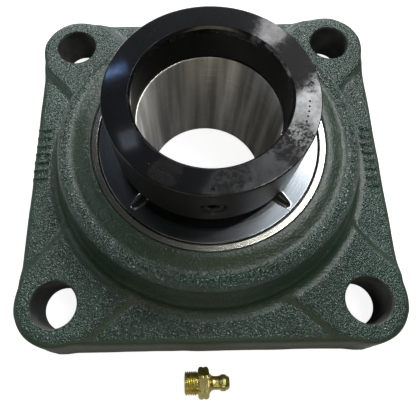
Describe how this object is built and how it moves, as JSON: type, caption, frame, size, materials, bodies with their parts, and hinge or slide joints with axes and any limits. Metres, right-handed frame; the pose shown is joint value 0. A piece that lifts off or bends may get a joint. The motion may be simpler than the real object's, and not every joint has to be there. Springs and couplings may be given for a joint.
{
  "type": "flange mount bearing",
  "caption": "Square flange mount bearing: cast housing with a self-aligning ball bearing insert, an eccentric locking collar with a set screw, and a loose grease nipple.",
  "frame": {"origin": "centre of the bolt pattern on the mounting face", "axes": "+Z along the shaft axis towards the locking collar, -Y towards the set screw, +X to the right seen from the set screw side"},
  "size_m": [0.168, 0.1869, 0.0719],
  "materials": {
    "enamelled_casting": "dark green glossy enamel over rough cast iron",
    "bearing_steel": "fine ground satin",
    "honed_steel": "honed bore, ground land",
    "cage_steel": "pressed sheet, bright",
    "seal_shell": "black phosphated sheet",
    "seal_rubber": "matte nitrile rubber",
    "slinger_steel": "pressed sheet, polished, bluish",
    "black_oxide": "oiled black oxide, glossy",
    "screw_black": "black oxide",
    "nipple_brass": "turned, polished",
    "ball_steel": "mirror polished",
    "spring_steel": "drawn wire"
  },
  "bodies": {
    "housing": {"housing": "enamelled_casting"},
    "outer_ring": {"outer_ring": "bearing_steel", "seal_shell_upper": "seal_shell", "seal_shell_lower": "seal_shell", "seal_lip_upper": "seal_rubber", "seal_lip_lower": "seal_rubber"},
    "inner_ring": {"inner_ring": "honed_steel", "slinger_upper": "slinger_steel", "slinger_lower": "slinger_steel"},
    "cage": {"cage_upper": "cage_steel", "cage_lower": "cage_steel", "cage_rivets": "cage_steel"},
    "ball_01": {"ball_01": "ball_steel"},
    "ball_02": {"ball_02": "ball_steel"},
    "ball_03": {"ball_03": "ball_steel"},
    "ball_04": {"ball_04": "ball_steel"},
    "ball_05": {"ball_05": "ball_steel"},
    "ball_06": {"ball_06": "ball_steel"},
    "ball_07": {"ball_07": "ball_steel"},
    "ball_08": {"ball_08": "ball_steel"},
    "ball_09": {"ball_09": "ball_steel"},
    "ball_10": {"ball_10": "ball_steel"},
    "locking_collar": {"locking_collar": "black_oxide"},
    "set_screw": {"set_screw": "screw_black"},
    "grease_nipple": {"grease_nipple": "nipple_brass", "nipple_spring": "spring_steel"},
    "nipple_check_ball": {"nipple_check_ball": "ball_steel"}
  },
  "joints": [
    {"name": "insert_tilt", "type": "hinge", "parent": "housing", "child": "outer_ring", "pos_m": [0, 0, 0.0283], "axis": [1, 0, 0], "range_deg": [-2, 2]},
    {"name": "inner_spin", "type": "hinge", "parent": "outer_ring", "child": "inner_ring", "pos_m": [0, 0, 0.0283], "axis": [0, 0, 1], "continuous": true},
    {"name": "cage_orbit", "type": "hinge", "parent": "outer_ring", "child": "cage", "pos_m": [0, 0, 0.0283], "axis": [0, 0, 1], "continuous": true},
    {"name": "ball_01_roll", "type": "hinge", "parent": "cage", "child": "ball_01", "pos_m": [0.03875, 0, 0.0283], "axis": [0, 0, 1], "continuous": true},
    {"name": "ball_02_roll", "type": "hinge", "parent": "cage", "child": "ball_02", "pos_m": [0.03135, 0.02278, 0.0283], "axis": [0, 0, 1], "continuous": true},
    {"name": "ball_03_roll", "type": "hinge", "parent": "cage", "child": "ball_03", "pos_m": [0.01197, 0.03685, 0.0283], "axis": [0, 0, 1], "continuous": true},
    {"name": "ball_04_roll", "type": "hinge", "parent": "cage", "child": "ball_04", "pos_m": [-0.01197, 0.03685, 0.0283], "axis": [0, 0, 1], "continuous": true},
    {"name": "ball_05_roll", "type": "hinge", "parent": "cage", "child": "ball_05", "pos_m": [-0.03135, 0.02278, 0.0283], "axis": [0, 0, 1], "continuous": true},
    {"name": "ball_06_roll", "type": "hinge", "parent": "cage", "child": "ball_06", "pos_m": [-0.03875, 0, 0.0283], "axis": [0, 0, 1], "continuous": true},
    {"name": "ball_07_roll", "type": "hinge", "parent": "cage", "child": "ball_07", "pos_m": [-0.03135, -0.02278, 0.0283], "axis": [0, 0, 1], "continuous": true},
    {"name": "ball_08_roll", "type": "hinge", "parent": "cage", "child": "ball_08", "pos_m": [-0.01197, -0.03685, 0.0283], "axis": [0, 0, 1], "continuous": true},
    {"name": "ball_09_roll", "type": "hinge", "parent": "cage", "child": "ball_09", "pos_m": [0.01197, -0.03685, 0.0283], "axis": [0, 0, 1], "continuous": true},
    {"name": "ball_10_roll", "type": "hinge", "parent": "cage", "child": "ball_10", "pos_m": [0.03135, -0.02278, 0.0283], "axis": [0, 0, 1], "continuous": true},
    {"name": "collar_lock", "type": "hinge", "parent": "inner_ring", "child": "locking_collar", "pos_m": [0, 0, 0.06], "axis": [0, 0, 1], "range_deg": [-17, 17]},
    {"name": "screw_travel", "type": "slide", "parent": "locking_collar", "child": "set_screw", "axis": [0, 1, 0], "range_m": [-0.004, 0.0006]},
    {"name": "nipple_lift", "type": "slide", "parent": "housing", "child": "grease_nipple", "axis": [0, 0, 1], "range_m": [0, 0.08]},
    {"name": "nipple_valve", "type": "slide", "parent": "grease_nipple", "child": "nipple_check_ball", "axis": [-1, 0, 0], "range_m": [0, 0.0008], "stiffness_N_per_m": 100, "springref_m": -0.001, "deforming": ["nipple_spring"]}
  ],
  "couplings": [
    {"joint": "cage_orbit", "follows": "inner_spin", "ratio": 0.40782},
    {"joint": "ball_01_roll", "follows": "inner_spin", "ratio": -2.6199},
    {"joint": "ball_02_roll", "follows": "inner_spin", "ratio": -2.6199},
    {"joint": "ball_03_roll", "follows": "inner_spin", "ratio": -2.6199},
    {"joint": "ball_04_roll", "follows": "inner_spin", "ratio": -2.6199},
    {"joint": "ball_05_roll", "follows": "inner_spin", "ratio": -2.6199},
    {"joint": "ball_06_roll", "follows": "inner_spin", "ratio": -2.6199},
    {"joint": "ball_07_roll", "follows": "inner_spin", "ratio": -2.6199},
    {"joint": "ball_08_roll", "follows": "inner_spin", "ratio": -2.6199},
    {"joint": "ball_09_roll", "follows": "inner_spin", "ratio": -2.6199},
    {"joint": "ball_10_roll", "follows": "inner_spin", "ratio": -2.6199}
  ]
}
